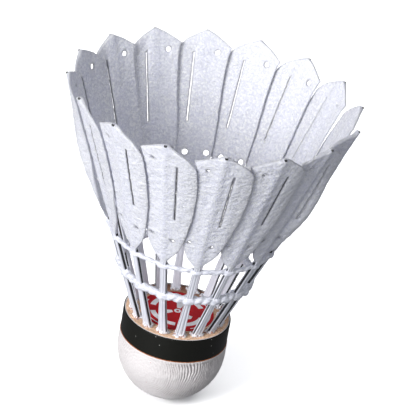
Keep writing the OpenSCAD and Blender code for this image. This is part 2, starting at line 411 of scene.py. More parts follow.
def carbon_material():
    m = Mat("carbon_rod")
    streak = m.noise(m.coords((9.0, 0.15, 4.0), "loc"), detail=5, rough=0.65)
    tone = m.ramp(streak, [(0.3, (0.008, 0.008, 0.009)), (0.62, (0.028, 0.028, 0.032)), (0.85, (0.08, 0.08, 0.09))])
    m.set(color=tone, rough=m.ramp(streak, [(0.3, 0.24), (0.8, 0.42)]), spec=0.5, coat=0.3, coat_rough=0.15, normal=m.bump(streak, 0.05, 0.5))
    return m.m


def thread_material(name, axis_scale=1.0):
    m = Mat(name)
    # loc: x round the ring in mm, y the turn round the strand in mm, z free.
    fibre = m.noise(m.coords((1.1 * axis_scale, 5.2, 1.0), "loc", (0, 0, 0.55)), detail=4, rough=0.6, distortion=0.3)
    lumps = m.noise(m.coords(0.9), detail=4, rough=0.55)
    tone = m.ramp(fibre, [(0.36, (0.50, 0.52, 0.60)), (0.5, (0.72, 0.735, 0.81)), (0.64, (0.84, 0.85, 0.92))])
    tone = m.mix(m.ramp(lumps, [(0.45, 0.0), (0.65, 0.5)]), tone, (0.62, 0.64, 0.71))
    n = m.bump(lumps, 0.25, 0.5, m.bump(fibre, 0.12, 0.8))
    m.set(color=tone, rough=m.ramp(lumps, [(0.35, 0.26), (0.7, 0.46)]), spec=0.5, coat=0.2, coat_rough=0.15, normal=n,
          sss=0.3, sss_scale=0.001, sss_radius=(0.35, 0.35, 0.4))
    return m.m


def glue_material():
    m = Mat("dried_glue")
    grains = m.voronoi(m.coords(2.1), "F1")
    colour = m.voronoi(m.coords(2.4), "F1", "Color")
    sep = m.node("ShaderNodeSeparateColor")
    m.link(colour, sep.inputs[0])
    lumps = m.noise(m.coords(1.3), detail=5, rough=0.6)
    tone = m.ramp(lumps, [(0.3, (0.58, 0.56, 0.58)), (0.5, (0.76, 0.76, 0.80)), (0.7, (0.90, 0.90, 0.94))])
    tone = m.mix(m.ramp(sep.outputs[0], [(0.80, 0.0), (0.86, 0.9)]), tone, (0.34, 0.13, 0.09))
    n = m.bump(grains, 0.3, 0.8, m.bump(lumps, 0.2, 0.6))
    m.set(color=tone, rough=0.14, spec=0.6, coat=0.6, coat_rough=0.06, normal=n, sss=0.4, sss_scale=0.001, sss_radius=(0.5, 0.5, 0.55))
    return m.m


def composite_cork_material(name="composite_cork", light=(0.80, 0.555, 0.385), dark=(0.42, 0.22, 0.13), painted_back_shade=True):
    m = Mat(name)
    cell = m.voronoi(m.coords(2.3), "F1", "Color")
    sep = m.node("ShaderNodeSeparateColor")
    m.link(cell, sep.inputs[0])
    edge = m.voronoi(m.coords(2.3), "DISTANCE_TO_EDGE")
    grain = m.noise(m.coords(4.0), detail=5, rough=0.65)
    mid = tuple(0.6 * a + 0.4 * b for a, b in zip(light, dark))
    tone = m.ramp(sep.outputs[0], [(0.0, dark), (0.12, mid), (0.4, light), (1.0, tuple(min(1, a * 1.18) for a in light))])
    tone = m.mix(m.ramp(edge, [(0.0, 0.35), (0.09, 0.0)]), tone, dark)
    tone = m.mix(m.ramp(grain, [(0.4, 0.0), (0.7, 0.35)]), tone, tuple(min(1, a * 1.25) for a in light))
    # painted shade: the cork goes dark brown towards the back right, the side turned from the key light
    if painted_back_shade:
        at = m.node("ShaderNodeSeparateXYZ")
        m.link(m.node("ShaderNodeTexCoord").outputs["Object"], at.inputs[0])
        along = m.math("ADD", m.math("MULTIPLY", at.outputs[0], 0.42), m.math("MULTIPLY", at.outputs[1], 0.91))
        shade_fade = m.math("ADD", m.math("MULTIPLY", along, 50.0), m.math("MULTIPLY", m.noise(m.coords(0.45), detail=3), 0.5))
        tone = m.mix(m.ramp(shade_fade, [(0.35, 0.0), (0.75, 0.85)]), tone, (0.26, 0.10, 0.065))
    n = m.bump(grain, 0.12, 0.7, m.bump(m.ramp(edge, [(0.0, 0.0), (0.12, 1.0)]), 0.12, 0.5))
    m.set(color=tone, rough=0.82, spec=0.25, normal=n)
    return m.m


def skin_material():
    m = Mat("white_skin")
    fine = m.noise(m.coords(3.4), detail=5, rough=0.62)
    net = m.voronoi(m.coords(2.0), "SMOOTH_F1")
    mott = m.noise(m.coords(0.22), detail=3)
    fleck = m.voronoi(m.coords(0.33), "F1")
    tone = m.ramp(fine, [(0.25, (0.64, 0.61, 0.615)), (0.55, (0.735, 0.705, 0.71)), (0.8, (0.80, 0.775, 0.78))])
    tone = m.mix(m.ramp(mott, [(0.45, 0.0), (0.75, 0.3)]), tone, (0.69, 0.65, 0.645))
    tone = m.mix(m.ramp(fleck, [(0.0, 0.6), (0.035, 0.6), (0.05, 0.0)]), tone, (0.55, 0.25, 0.20))
    # loc: x how deep in a crease, which darkens the colour as painted shade
    crease_shade = m.node("ShaderNodeSeparateXYZ")
    m.link(m.node("ShaderNodeAttribute", attribute_name="loc").outputs["Vector"], crease_shade.inputs[0])
    tone = m.mix(m.math("MULTIPLY", crease_shade.outputs[0], 0.85), tone, (0.36, 0.32, 0.31))
    n = m.bump(net, 0.14, 0.5, m.bump(fine, 0.14, 0.55))
    m.set(color=tone, rough=m.ramp(fine, [(0.3, 0.40), (0.7, 0.54)]), spec=0.45, normal=n, sheen=0.03, sheen_rough=0.4)
    return m.m


def band_material():
    m = Mat("black_band")
    fine = m.noise(m.coords(5.0), detail=4, rough=0.6)
    weave = m.noise(m.coords((2.0, 2.0, 9.0)), detail=2)
    speck = m.voronoi(m.coords(0.55), "F1")
    tone = m.ramp(fine, [(0.3, (0.0030, 0.0031, 0.0022)), (0.7, (0.0068, 0.0070, 0.0050))])
    tone = m.mix(m.ramp(speck, [(0.0, 0.75), (0.05, 0.75), (0.075, 0.0)]), tone, (0.45, 0.45, 0.43))
    n = m.bump(fine, 0.03, 0.4, m.bump(weave, 0.05, 0.35))
    m.set(color=tone, rough=m.ramp(fine, [(0.3, 0.46), (0.7, 0.60)]), spec=0.25, normal=n)
    return m.m


def edge_line_material():
    m = Mat("band_edge_line")
    v = m.noise(m.coords(1.2), detail=4, rough=0.6)
    tone = m.ramp(v, [(0.35, (0.17, 0.045, 0.012)), (0.6, (0.42, 0.15, 0.055)), (0.75, (0.62, 0.30, 0.14))])
    m.set(color=tone, rough=0.5, spec=0.4, normal=m.bump(v, 0.05, 0.5))
    return m.m


def print_material(name, a, b):
    m = Mat(name)
    v = m.noise(m.coords(0.8), detail=4, rough=0.6)
    fibre = m.noise(m.coords(6.0), detail=3)
    tone = m.ramp(v, [(0.3, a), (0.7, b)])
    m.set(color=tone, rough=m.ramp(fibre, [(0.3, 0.48), (0.7, 0.62)]), spec=0.25, normal=m.bump(fibre, 0.04, 0.4))
    return m.m


FOAM = foam_material()
STRIP = strip_material()
CARBON = carbon_material()
THREAD = thread_material("glued_thread")
GLUE = glue_material()
CORK_TOP = composite_cork_material()
CORK_IN = composite_cork_material("pressed_cork", (0.62, 0.43, 0.26), (0.36, 0.22, 0.13), False)
SKIN = skin_material()
BAND = band_material()
LINE = edge_line_material()
RED = print_material("label_red", (0.40, 0.001, 0.004), (0.52, 0.003, 0.010))
WHITE = print_material("label_white", (0.72, 0.72, 0.74), (0.84, 0.84, 0.86))


# ---------------------------------------------------------------- vanes
def vane_outline():
    """The outline in (u, s), anticlockwise from outside, and where its sharp corner is."""
    right = [(0.0, 63.3), (1.2, 62.8), (2.8, 61.85), (4.25, 60.9), (5.5, 59.9), (6.45, 58.55), (6.98, 57.0), (7.15, 54.0), (7.1, 50.0),
             (6.75, 45.5), (6.35, 42.0), (5.72, 38.8), (5.05, 35.6), (4.5, 33.4), (3.9, 31.4), (2.85, 29.3), (1.7, 27.5), (0.8, 26.0), (0.72, 25.6)]
    left_low = [(-0.72, 25.6), (-0.8, 26.0), (-1.7, 26.9), (-2.8, 28.4), (-3.55, 30.0), (-4.35, 32.8), (-4.72, 38.0), (-4.87, 42.0),
                (-4.93, 47.0), (-5.03, 51.5), (-5.38, 56.0), (-5.7, 58.0), (-6.2, 59.6)]
    left_top = [(-6.2, 59.6), (-5.3, 60.2), (-4.2, 61.0), (-2.9, 61.85), (-1.7, 62.5), (0.0, 63.3)]
    r = catmull(right, 0.40)
    a = catmull(left_low, 0.40)
    b = catmull(left_top, 0.40)
    pts = np.vstack([r, a[:-1], b[:-1]])
    return pts


def inside(poly, p):
    """Which of the points p lie inside the polygon."""
    x, y = p[:, 0], p[:, 1]
    hit = np.zeros(len(p), bool)
    q = np.roll(poly, -1, 0)
    for (x1, y1), (x2, y2) in zip(poly, q):
        if y1 == y2:
            continue
        c = ((y1 > y) != (y2 > y)) & (x < (x2 - x1) * (y - y1) / (y2 - y1) + x1)
        hit ^= c
    return hit


def edge_distance(poly, p):
    q = np.roll(poly, -1, 0)
    best = np.full(len(p), 1e9)
    for a, b in zip(poly, q):
        d = b - a
        t = np.clip(((p - a) @ d) / max(1e-12, d @ d), 0, 1)
        best = np.minimum(best, np.linalg.norm(p - (a + t[:, None] * d), axis=1))
    return best


def ring_points(c, r, n):
    a = np.arange(n) / n * 2 * math.pi
    return np.stack([c[0] + r * np.cos(a), c[1] + r * np.sin(a)], 1)


def slot_points():
    """The slot's outline: a narrow cut with round ends, slightly leaning."""
    lo, hi, w = np.array([2.42, 41.0]), np.array([2.70, 57.4]), 0.205
    d = (hi - lo) / np.linalg.norm(hi - lo)
    n = np.array([-d[1], d[0]])
    m = 40
    out = []
    for t in np.arange(m + 1) / m:
        out.append(lo + (hi - lo) * t - n * w)
    for a in (0.25, 0.5, 0.75):
        out.append(hi + d * w * math.sin(a * math.pi) - n * w * math.cos(a * math.pi))
    for t in np.arange(m + 1) / m:
        out.append(hi + (lo - hi) * t + n * w)
    for a in (0.25, 0.5, 0.75):
        out.append(lo - d * w * math.sin(a * math.pi) + n * w * math.cos(a * math.pi))
    return np.array(out)


HOLES = [((-2.93, 58.0), 0.68), ((-3.1, 33.8), 0.72), ((2.0, 33.45), 0.72)]
OUTLINE = vane_outline()
LOOPS = [OUTLINE, slot_points()] + [ring_points(c, r, 18) for c, r in HOLES]

OUT_N = np.array([(-7.0, -0.99), (-6.2, -0.80), (-5.0, -0.54), (-3.0, -0.12), (-1.6, 0.20), (-0.8, 0.50), (-0.25, 0.67), (0.25, 0.67), (0.9, 0.47),
                  (1.6, 0.39), (2.7, 0.38), (4.0, 0.31), (5.5, 0.11), (6.4, -0.10), (7.1, -0.34), (7.6, -0.36)])
IN_N = np.array([(-7.0, -1.60), (-5.0, -1.17), (-3.0, -0.78), (-1.3, -0.55), (-0.4, -0.52), (0.6, -0.50), (1.4, -0.42), (2.7, -0.19), (4.0, -0.24),
                 (5.5, -0.34), (7.6, -0.54)])


def smooth_interp(table, x, width=0.22):
    """The table's value at x, rounded over a short width so that the sheet has soft bends."""
    total = 0.0
    for off, wt in ((-1.2, 0.12), (-0.6, 0.23), (0, 0.30), (0.6, 0.23), (1.2, 0.12)):
        total = total + wt * np.interp(x + off * width, table[:, 0], table[:, 1])
    return total


def flat_vane():
    """The vane's flat layout, cut into triangles: points (u, s), triangles, and its boundary loops as lists of point numbers."""
    step = 0.44
    us = np.arange(-6.6, 7.6, step)
    ss = np.arange(25.2, 63.6, step * 0.866)
    grid = []
    for j, s in enumerate(ss):
        for u in us:
            grid.append((u + (step / 2 if j % 2 else 0), s))
    grid = np.array(grid)
    ok = inside(OUTLINE, grid) & (edge_distance(OUTLINE, grid) > 0.30)
    for loop in LOOPS[1:]:
        ok &= ~inside(loop, grid) & (edge_distance(loop, grid) > 0.24)
    grid = grid[ok]
    # the boundary loops' points go first, then the grid's
    points, loops, edges = [], [], []
    for loop in LOOPS:
        base = len(points)
        points += [tuple(p) for p in loop]
        idx = list(range(base, base + len(loop)))
        loops.append(idx)
        edges += [(idx[k], idx[(k + 1) % len(idx)]) for k in range(len(idx))]
    points += [tuple(p) for p in grid]
    vecs = [Vector(p) for p in points]
    v2, e2, f2, vo, eo, fo = delaunay_2d_cdt(vecs, edges, [], 1, 1e-5)
    # put the points back in their first order
    pos = {}
    for new, olds in enumerate(vo):
        for o in olds:
            pos[o] = new
    pts = np.array([tuple(v) for v in v2])
    loops = [[pos[k] for k in loop] for loop in loops]
    tris = np.array([tuple(f) for f in f2])
    mid = pts[tris].mean(1)
    keep = inside(OUTLINE, mid)
    for loop in LOOPS[1:]:
        keep &= ~inside(loop, mid)
    tris = tris[keep]
    area = ((pts[tris[:, 1], 0] - pts[tris[:, 0], 0]) * (pts[tris[:, 2], 1] - pts[tris[:, 0], 1])
            - (pts[tris[:, 1], 1] - pts[tris[:, 0], 1]) * (pts[tris[:, 2], 0] - pts[tris[:, 0], 0]))
    tris[area < 0] = tris[area < 0][:, ::-1]
    return pts, tris, loops


FLAT, TRIS, FLOOPS = flat_vane()


def loop_normals(loop):
    """For each point of a boundary loop, the direction from the edge into the foam."""
    p = FLAT[loop]
    t = np.roll(p, -1, 0) - np.roll(p, 1, 0)
    t /= np.linalg.norm(t, axis=1)[:, None] + 1e-12
    n = np.stack([-t[:, 1], t[:, 0]], 1)
    probe = p + n * 0.05
    into = inside(OUTLINE, probe)
    for other in LOOPS[1:]:
        into &= ~inside(other, probe)
    if into.mean() < 0.5:
        n = -n
    return n


LOOP_N = [loop_normals(l) for l in FLOOPS]


def sheet_wave(i, u, s):
    """How far vane i's sheet bows outwards at (u, s)."""
    seed = 100 + 7 * i
    p3 = lambda a, b, c=0.0: np.stack([u * a, s * b, np.full(len(u), c + i * 5.37)], 1)
    rise = np.clip((s - 27) / 8, 0, 1)
    flap = np.clip((np.abs(u) - 2.6) / 3.5, 0, 1)
    wave = 0.10 * noise3(p3(0.16, 0.085), seed + 1) * rise + flap * rise * (0.16 * noise3(p3(0.10, 0.11, 9), seed + 2))
    # the sharp corner curls a little, more on some vanes
    corner = np.clip(1 - np.hypot(u + 6.2, (s - 59.6)) / 4.5, 0, 1) ** 2
    wave = wave + corner * (0.10 - 0.32 * rnd(i, 3))
    # some vanes have taken a set: bowed along their length, or with one half sprung out
    soft = lambda x: np.clip(x, 0, 1) ** 2 * (3 - 2 * np.clip(x, 0, 1))
    if i == 9:
        wave = wave + 2.05 * np.exp(-(((s - 43) / 12.5) ** 2)) * soft((7.3 - u) / 5.2) * soft((u + 7.0) / 5.5)
    if i == 15:
        wave = wave + 2.1 * np.exp(-(((s - 43) / 12.5) ** 2)) * np.exp(-(((u - 5.0) / 3.2) ** 2)) * soft((u - 0.2) / 3.0)
        wave = wave - 0.42 * np.exp(-(((u - 1.25) / 0.6) ** 2)) * soft((s - 30) / 6)
    if i == 16:
        wave = wave + 0.9 * np.exp(-(((s - 42) / 12.0) ** 2)) * soft((u + 6.5) / 6.0)
        wave = wave - 1.45 * soft((-u - 0.6) / 5.2) * soft((s - 44) / 9)
    if i == 1:
        wave = wave + 0.22 * soft((u - 1.5) / 4.5) * soft((s - 36) / 9)
    return wave


def build_vane(i):
    seed = 100 + 7 * i
    pts = FLAT.copy()
    m = len(pts)
    # the cut edge isn't quite straight
    j = np.stack([noise3(np.stack([pts[:, 0] * 0.5, pts[:, 1] * 0.55, np.full(m, i * 3.1)], 1), seed),
                  noise3(np.stack([pts[:, 0] * 0.5, pts[:, 1] * 0.55, np.full(m, i * 3.1 + 50)], 1), seed)], 1)
    near_stem = np.clip((pts[:, 1] - 28) / 6, 0, 1)[:, None]
    if i in (1, 2, 3, 16):
        pts[FLOOPS[1]] -= LOOP_N[1] * (0.175 if i != 3 else 0.10)
    if i in (1, 2, 16):
        pts[FLOOPS[2]] -= LOOP_N[2] * 0.52
    j2 = np.stack([noise3(np.stack([pts[:, 0] * 1.6, pts[:, 1] * 1.5, np.full(m, i * 3.1)], 1), seed + 40),
                   noise3(np.stack([pts[:, 0] * 1.6, pts[:, 1] * 1.5, np.full(m, i * 3.1 + 50)], 1), seed + 41)], 1)
    pts = pts + (j * 0.07 + j2 * 0.035) * near_stem
    pts[:, 1] = np.minimum(pts[:, 1], VANE_END + 0.02)
    u, s = pts[:, 0], pts[:, 1]
    p3 = lambda a, b, c=0.0: np.stack([u * a, s * b, np.full(m, c + i * 5.37)], 1)
    wave = sheet_wave(i, u, s)
    rough = 0.8 + 0.7 * rnd(i, 5)
    if i in (14, 15, 16):
        rough = 1.9
    ang = 0.25 + 0.5 * (rnd(i, 8) - 0.5)
    if i in (14, 15):
        ang = 0.75
    a = u * math.cos(ang) + s * math.sin(ang)
    b = -u * math.sin(ang) + s * math.cos(ang)
    q = np.stack([a * 0.30, b * 0.85, np.full(m, i * 2.3)], 1)
    folds = crease(q, seed + 3) * 0.115 + noise3(q * 1.7, seed + 4) * 0.05
    pebbles = noise3(p3(1.0, 0.9, 3), seed + 5) * 0.07
    quiet = 1 - 0.65 * np.exp(-((u / 1.0) ** 2))
    relief = (rough * folds + pebbles) * quiet * np.clip((s - 26) / 3, 0.1, 1)
    n_out = smooth_interp(OUT_N, u) + wave + np.minimum(relief, 0.12) - 0.04
    cell = crease(np.stack([u * 0.62, s * 0.55, np.full(m, i * 1.7)], 1), seed + 6)
    n_in = smooth_interp(IN_N, u) + wave - np.minimum(0.09 * cell + noise3(p3(0.95, 0.8, 21), seed + 7) * 0.07, 0.10) + 0.05
    n_in -= 0.075 * np.exp(-(((u + 0.3) / 0.17) ** 2)) * np.clip((s - 34) / 6, 0, 1)
    # the foam's skin stands up a little round the holes' edges
    for (c, r) in HOLES:
        d = np.hypot(u - c[0], s - c[1]) - r
        lip = np.exp(-((d - 0.22) / 0.22) ** 2) * 0.10
        n_out += lip * (0.5 + rnd(i, int(c[1])))
    # the petal's foot closes down on to the stem
    foot = np.clip((s - VANE_START) / 2.2, 0, 1)
    n_in = n_in * foot + (1 - foot) * np.maximum(n_in, -0.5)
    gap = n_out - n_in
    n_out = np.where(gap < 0.20, n_in + 0.20, n_out)
    # edges: both faces draw in, and a middle line carries the rounded edge
    uo, so, ui, si = u.copy(), s.copy(), u.copy(), s.copy()
    no, ni = n_out.copy(), n_in.copy()
    mids, start = [], 2 * m
    for loop, nor in zip(FLOOPS, LOOP_N):
        k = np.array(loop)
        thick = n_out[k] - n_in[k]
        e = np.minimum(0.15, thick * 0.28)
        uo[k] += nor[:, 0] * e
        so[k] += nor[:, 1] * e
        ui[k] += nor[:, 0] * e
        si[k] += nor[:, 1] * e
        no[k] -= thick * 0.07
        ni[k] += thick * 0.07
        # the cut slot and the air holes close a little inside the foam
        closing = i >= 9
        shut = 0.02 if loop is FLOOPS[0] else ((0.0 if i in (1, 2, 3, 16) else -0.155 if i >= 12 else -0.12 if closing else -0.07) if loop is FLOOPS[1]
                                                else (0.0 if loop is FLOOPS[2] and i in (1, 2, 16) else -0.34 if closing else -0.03))
        mid1 = stem_points(i, s[k] + nor[:, 1] * shut, u[k] + nor[:, 0] * shut, n_out[k] - thick * 0.28)
        mid2 = stem_points(i, s[k] + nor[:, 1] * shut, u[k] + nor[:, 0] * shut, n_in[k] + thick * 0.28)
        mids.append((mid1, mid2))
    verts = [stem_points(i, so, uo, no), stem_points(i, si, ui, ni)]
    loc = [np.stack([uo, so, np.full(m, 1.0 + i * 1.31)], 1), np.stack([ui, si, np.full(m, -1.0 + i * 1.31)], 1)]
    face = [np.tile((0.25, 0.0, 0.0), (m, 1)), np.tile((1.0, 0.0, 0.0), (m, 1))]
    faces = [tuple(t) for t in TRIS.tolist()] + [(t[0] + m, t[2] + m, t[1] + m) for t in TRIS.tolist()]
    # seen from outside the layout runs u to the right and s up, so anticlockwise triangles face outwards
    for loop, (mid1, mid2) in zip(FLOOPS, mids):
        k = np.array(loop)
        base1 = start
        base2 = start + len(k)
        start += 2 * len(k)
        verts += [mid1, mid2]
        loc += [np.stack([u[k], s[k], np.full(len(k), 0.5 + i * 1.31)], 1), np.stack([u[k], s[k], np.full(len(k), -0.5 + i * 1.31)], 1)]
        L = len(k)
        # how much painted shade darkens this vane's slot walls
        slot_shade = (0.0 if i in (1, 2, 3) else 0.2 if i == 15 else 1.0 if i >= 9 else 0.45) if loop is FLOOPS[1] else 0.0
        face.append(np.tile((0.3, slot_shade, 0.0), (2 * L, 1)))
        p = FLAT[loop]
        ccw = (p[:, 0] * np.roll(p[:, 1], -1) - np.roll(p[:, 0], -1) * p[:, 1]).sum() > 0
        outer = loop is FLOOPS[0]
        flip = (ccw != outer)
        for x in range(L):
            y = (x + 1) % L
            quads = [(loop[x], base1 + x, base1 + y, loop[y]), (base1 + x, base2 + x, base2 + y, base1 + y),
                     (base2 + x, loop[x] + m, loop[y] + m, base2 + y)]
            for qd in quads:
                faces.append(tuple(reversed(qd)) if flip else qd)
    verts = np.vstack(verts)
    ob = new_object(f"foam_vane_{i:02d}", verts, faces, FOAM, [f"vane_{i:02d}"], attrs={"loc": np.vstack(loc), "face": np.vstack(face)})
    return ob


# ---------------------------------------------------------------- stems
def loft(i, stations, profile):
    """A closed strip along stem i. profile(s) gives the (u, n) outline at distance s. Returns vertices, faces, and loc values."""
    verts, loc = [], []
    k = None
    for s in stations:
        pr = np.asarray(profile(s), float)
        k = len(pr)
        verts.append(stem_points(i, np.full(k, s), pr[:, 0], pr[:, 1]))
        loc.append(np.stack([pr[:, 0], np.full(k, s), pr[:, 1] + i * 1.7], 1))
    m = len(stations)
    faces = []
    for r in range(m - 1):
        for c in range(k):
            c2 = (c + 1) % k
            faces.append((r * k + c, (r + 1) * k + c, (r + 1) * k + c2, r * k + c2))
    faces.append(tuple(range(k)))
    faces.append(tuple(reversed(range((m - 1) * k, m * k))))
    return np.vstack(verts), faces, np.vstack(loc)


def stem_width(s):
    return np.interp(s, [-2, 0, 1.5, 6, 12, 25.6, 40, 63.5], [2.06, 2.04, 1.94, 1.72, 1.46, 1.38, 1.1, 0.8])


def build_stem(i):
    st = np.concatenate([np.arange(-1.2, 27.0, 0.45), [27.0]])
    seed = 300 + i

    def wob(s, k, amp):
        return amp * float(noise3(np.array([[s * 0.16, k * 3.7, i * 1.9]]), seed)[0])

    def front(s):
        w = float(stem_width(s)) * (1 + wob(s, 1, 0.05))
        c = wob(s, 2, 0.07)
        h = w / 2
        top = 0.605 + wob(s, 3, 0.03)
        if s > 25.6:
            top -= (s - 25.6) * 0.12
        g = 0.10 + wob(s, 4, 0.05)
        q = w * 0.235
        return [(c - h, 0.30), (c - h - 0.01, 0.46), (c - h + 0.05, top - 0.03), (c - h + 0.13, top), (c - q - 0.13, top + 0.012), (c - q - 0.05, top - g * 0.8),
                (c - q + 0.05, top - g * 0.8), (c - q + 0.13, top + 0.015), (c - 0.02, top + 0.03), (c + q - 0.13, top + 0.015), (c + q - 0.05, top - g),
                (c + q + 0.05, top - g), (c + q + 0.13, top + 0.012), (c + h - 0.13, top), (c + h - 0.05, top - 0.03), (c + h + 0.01, 0.46), (c + h, 0.30)]

    def back(s):
        w = float(stem_width(s)) * (1.02 + wob(s, 5, 0.05))
        c = wob(s, 2, 0.07)
        h = w / 2 + 0.04
        b = -0.5 + wob(s, 6, 0.03)
        return [(c + h, -0.30), (c + h, -0.42), (c + h - 0.07, b), (c + h * 0.45, b - 0.015), (c + h * 0.3, b + 0.03), (c + h * 0.15, b - 0.01), (c - h * 0.3, b - 0.01),
                (c - h + 0.07, b), (c - h, -0.42), (c - h, -0.30)]

    vf, ff, lf = loft(i, st, front)
    vb, fb, lb = loft(i, st, back)
    v, f = merge([(vf, [tuple(reversed(x)) for x in ff]), (vb, [tuple(reversed(x)) for x in fb])])
    new_object(f"stem_strips_{i:02d}", v, f, STRIP, [f"stem_{i:02d}"], attrs={"loc": np.vstack([lf, lb])})

    rs = np.concatenate([np.arange(-1.2, 26.0, 0.6), np.arange(27.0, 59.9, 2.5), [60.4, 62.7, 62.95, 63.2, 63.25]])
    tip_wave = float(sheet_wave(i, np.array([0.0]), np.array([63.0]))[0]) - 0.03

    def rod(s):
        w = float(stem_width(s)) * (0.985 + wob(s, 7, 0.02))
        if s > 60:
            w = 0.66
        c = wob(s, 2, 0.07) if s < 27 else 0.0
        h, t = w / 2, 0.30
        lift = 0.0
        if s > 27:
            lift = float(sheet_wave(i, np.array([0.0]), np.array([s]))[0])
        if s > 60:
            t = 0.24
            lift = tip_wave + (0.39 if s > 62.8 else 0.05)
        if s > 63.22:
            h, t = h - 0.06, t - 0.05
        return [(c - h, lift - t * 0.6), (c - h, lift + t * 0.6), (c - h + 0.10, lift + t), (c, lift + t + 0.003), (c + h - 0.10, lift + t), (c + h, lift + t * 0.6),
                (c + h, lift - t * 0.6), (c + h - 0.10, lift - t), (c, lift - t - 0.003), (c - h + 0.10, lift - t)]

    vr, fr, lr = loft(i, rs, rod)
    new_object(f"carbon_{i:02d}", vr, [tuple(reversed(x)) for x in fr], CARBON, [f"carbon_rod_{i:02d}"], attrs={"loc": lr}, smooth=False)


# ---------------------------------------------------------------- bindings
def ring_attrs(co, radius, z0):
    th = np.arctan2(co[:, 1], co[:, 0])
    r = np.hypot(co[:, 0], co[:, 1])
    psi = np.arctan2(co[:, 2] - z0, r - radius)
    return np.stack([th * radius, psi * 0.8, r], 1)


def build_binding(name, node, at, strand, rho, out_at, in_at, flat, voxel, glue, seed, lumps):
    """Two strands laid round each other between the stems, one passing outside and one inside each stem, soaked in glue."""
    R = ROOT_R + at * math.tan(LEAN)
    z0 = CORK_H + at
    M = 960
    th = np.arange(M) / M * 2 * math.pi
    k = th / math.radians(PITCH)
    arc = ((k + 0.5) % 1.0 - 0.5) * math.radians(PITCH) * R
    near = np.exp(-(arc / 1.05) ** 4)
    parts = []
    radial = np.stack([np.cos(th), np.sin(th), 0 * th], 1)
    jit = lambda a, f, z: a * noise3(np.stack([np.cos(th) * f, np.sin(th) * f, 0 * th + z], 1), seed)
    for strand_no in (0, 1):
        psi = 2 * math.pi * k * 1.5 + strand_no * math.pi
        side = np.cos(psi)
        # a strand is outside where its angle is 0 and inside where it is 180 degrees; the two swap from stem to stem
        keep = np.where(side > 0, out_at, in_at)
        off_r = (1 - near) * (0.12 + rho * side) + near * keep + jit(0.06, 5, 3 + strand_no)
        off_z = rho * np.sin(psi) * (1 - 0.7 * near) + jit(0.07, 6, 8 + strand_no)
        path = radial * (R + off_r)[:, None]
        path[:, 2] = z0 + off_z - np.where(side > 0, near * 0.20, 0)
        rad_n = strand * (1 - (1 - flat) * near) * (1 + jit(0.10, 14, 20 + strand_no))
        rad_z = strand * (1 + 0.22 * near) * (1 + jit(0.10, 14, 30 + strand_no))
        v, f = tube(path, rad_n, rad_z, radial, sides=12)
        parts.append((v, f))
    # the glue that fills the lay of the two strands
    path = radial * (R + 0.10 + 0.30 * near + jit(0.05, 6, 60))[:, None]
    path[:, 2] = z0 + jit(0.06, 7, 64) - 0.10 * near
    v, f = tube(path, strand * 0.86, strand * 1.22 * (1 + jit(0.10, 9, 70)), radial, sides=12)
    parts.append((v, f))
    # and the small fillets where it wets each stem's edges
    for i in range(1, N_VANES + 1):
        a = math.radians((i - 1) * PITCH)
        rad, tan, up = np.array([math.cos(a), math.sin(a), 0]), np.array([-math.sin(a), math.cos(a), 0]), np.array([0, 0, 1.0])
        for side in (-1, 1):
            c = rad * (R + 0.30 + 0.1 * (rnd(i, side + 2, seed) - 0.5)) + tan * side * (0.86 + 0.2 * rnd(i, side + 5, seed)) + up * (z0 + 0.3 * (rnd(i, side + 9, seed) - 0.5))
            parts.append(blob(c, (rad, tan, up), (0.42 * glue, 0.50 * glue, (0.85 + 0.35 * rnd(i, side + 12, seed)) * glue)))
        c = rad * (R + 0.50) + up * (z0 - 0.35 * glue) + tan * 0.3 * (rnd(i, 31, seed) - 0.5)
        parts.append(blob(c, (rad, tan, up), (0.34 * glue, 0.80, (0.55 + 0.3 * rnd(i, 32, seed)) * glue)))
    for (deg, dr, dz, ra, rb, rc) in lumps:
        a = math.radians(deg)
        rad, tan, up = np.array([math.cos(a), math.sin(a), 0]), np.array([-math.sin(a), math.cos(a), 0]), np.array([0, 0, 1.0])
        parts.append(blob(rad * (R + dr) + up * (z0 + dz), (rad, tan, up), (ra, rb, rc)))
    co, faces = fused(name, parts, voxel, 7, 0.5)
    # the lay of the fibres and lumps in the glue over them
    thv = np.arctan2(co[:, 1], co[:, 0])
    r = np.hypot(co[:, 0], co[:, 1])
    axis = np.stack([np.cos(thv) * R, np.sin(thv) * R, np.full(len(co), z0)], 1)
    d = co - axis
    d /= np.linalg.norm(d, axis=1)[:, None] + 1e-9
    ps = np.arctan2(co[:, 2] - z0, r - R)
    twist = np.cos(2 * ps - thv * R * 3.1 + 0.9 * noise3(co * 0.5, seed + 9))
    co = co + d * (0.055 * fbm(co * 0.9, 3, seed + 5) + 0.035 * twist * (0.5 + 0.5 * noise3(co * 0.35, seed + 6)))[:, None]
    return new_object(name, co, faces, THREAD, [node], attrs={"loc": ring_attrs(co, R, z0)})


